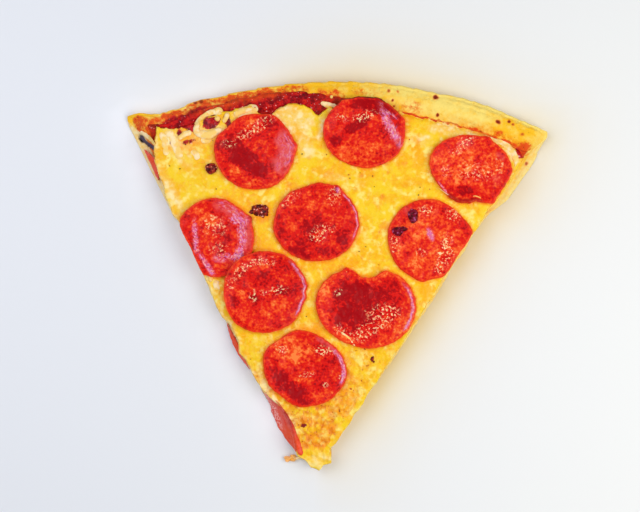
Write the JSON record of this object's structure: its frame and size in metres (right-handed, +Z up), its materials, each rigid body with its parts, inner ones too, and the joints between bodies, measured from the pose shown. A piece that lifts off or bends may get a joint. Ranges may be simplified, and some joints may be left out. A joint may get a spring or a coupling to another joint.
{
  "type": "pepperoni pizza slice",
  "caption": "Wedge of thin-crust pizza with a low baked rim, tomato sauce, melted cheese and pepperoni, lying flat with its cut layers showing.",
  "frame": {"origin": "on the board, under the middle of the slice's outline", "axes": "+Z up out of the topping, +Y from the tip to the crust along the middle of the cut, +X to the right seen from above with the crust away"},
  "size_m": [0.1802, 0.1672, 0.0132],
  "materials": {
    "crust": "baked bread dough, golden with browned spots, dry and slightly rough, floury below",
    "sauce": "cooked tomato sauce, dark red, moist and grainy",
    "cheese": "melted yellow cheese, soft gloss, with orange baked patches and pale unmelted shreds",
    "pepperoni": "cured sausage, oily red with orange fat flecks and darker baked edges"
  },
  "bodies": {
    "root": {"dough": "crust", "tomato_sauce": "sauce", "cheese": "cheese", "pepperoni_1": "pepperoni", "pepperoni_2": "pepperoni", "pepperoni_3": "pepperoni", "pepperoni_4": "pepperoni", "pepperoni_5": "pepperoni", "pepperoni_6": "pepperoni", "pepperoni_7": "pepperoni", "pepperoni_8": "pepperoni", "pepperoni_9": "pepperoni", "pepperoni_offcut_tip": "pepperoni", "pepperoni_offcut_side": "pepperoni", "pepperoni_offcut_corner": "pepperoni"}
  },
  "joints": []
}
